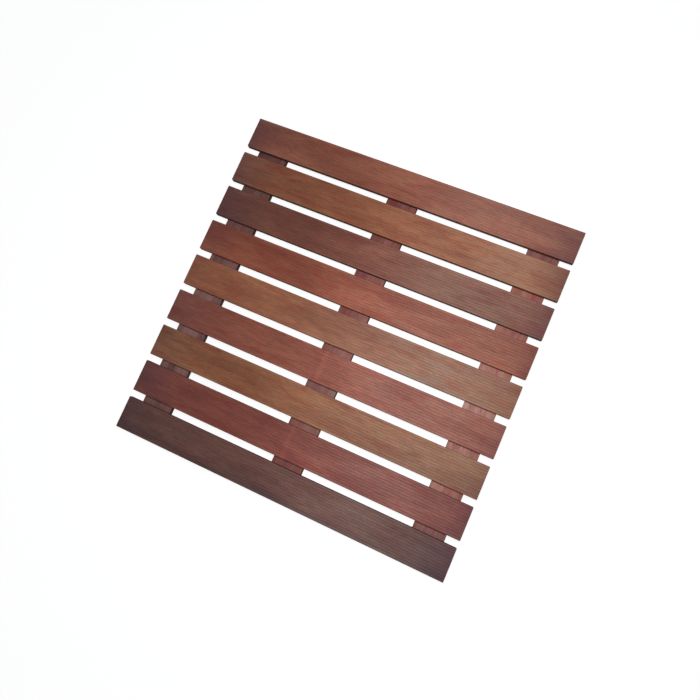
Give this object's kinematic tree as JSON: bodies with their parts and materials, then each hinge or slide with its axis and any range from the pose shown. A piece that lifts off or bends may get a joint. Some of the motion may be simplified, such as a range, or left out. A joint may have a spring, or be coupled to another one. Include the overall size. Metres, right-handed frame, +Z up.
{
  "type": "slatted wooden bath mat",
  "caption": "Square duckboard bath mat: reeded hardwood slats screwed from below to cross battens on rubber feet, with open drain gaps.",
  "frame": {"origin": "on the floor, under the middle of the mat", "axes": "+X along the slats, +Y across them towards slat_1, +Z up out of the standing face"},
  "size_m": [0.6, 0.6, 0.0243],
  "materials": {
    "slat_1_wood": "oiled, reeded along the grain",
    "slat_2_wood": "oiled, reeded along the grain",
    "slat_3_wood": "oiled, reeded along the grain",
    "slat_4_wood": "oiled, reeded along the grain",
    "slat_5_wood": "oiled, reeded along the grain",
    "slat_6_wood": "oiled, reeded along the grain",
    "slat_7_wood": "oiled, reeded along the grain",
    "slat_8_wood": "oiled, reeded along the grain",
    "slat_9_wood": "oiled, reeded along the grain",
    "batten_left_wood": "oiled, planed smooth",
    "batten_middle_wood": "oiled, planed smooth",
    "batten_right_wood": "oiled, planed smooth",
    "screw_steel": "bright, cross recess",
    "foot_rubber": "matt"
  },
  "bodies": {
    "root": {"slat_1": "slat_1_wood", "slat_2": "slat_2_wood", "slat_3": "slat_3_wood", "slat_4": "slat_4_wood", "slat_5": "slat_5_wood", "slat_6": "slat_6_wood", "slat_7": "slat_7_wood", "slat_8": "slat_8_wood", "slat_9": "slat_9_wood", "batten_left": "batten_left_wood", "batten_middle": "batten_middle_wood", "batten_right": "batten_right_wood", "screw_left_1": "screw_steel", "screw_left_2": "screw_steel", "screw_left_3": "screw_steel", "screw_left_4": "screw_steel", "screw_left_5": "screw_steel", "screw_left_6": "screw_steel", "screw_left_7": "screw_steel", "screw_left_8": "screw_steel", "screw_left_9": "screw_steel", "screw_middle_1": "screw_steel", "screw_middle_2": "screw_steel", "screw_middle_3": "screw_steel", "screw_middle_4": "screw_steel", "screw_middle_5": "screw_steel", "screw_middle_6": "screw_steel", "screw_middle_7": "screw_steel", "screw_middle_8": "screw_steel", "screw_middle_9": "screw_steel", "screw_right_1": "screw_steel", "screw_right_2": "screw_steel", "screw_right_3": "screw_steel", "screw_right_4": "screw_steel", "screw_right_5": "screw_steel", "screw_right_6": "screw_steel", "screw_right_7": "screw_steel", "screw_right_8": "screw_steel", "screw_right_9": "screw_steel", "foot_left_1": "foot_rubber", "foot_left_2": "foot_rubber", "foot_left_3": "foot_rubber", "foot_left_4": "foot_rubber", "foot_middle_1": "foot_rubber", "foot_middle_2": "foot_rubber", "foot_middle_3": "foot_rubber", "foot_middle_4": "foot_rubber", "foot_right_1": "foot_rubber", "foot_right_2": "foot_rubber", "foot_right_3": "foot_rubber", "foot_right_4": "foot_rubber"}
  },
  "joints": []
}
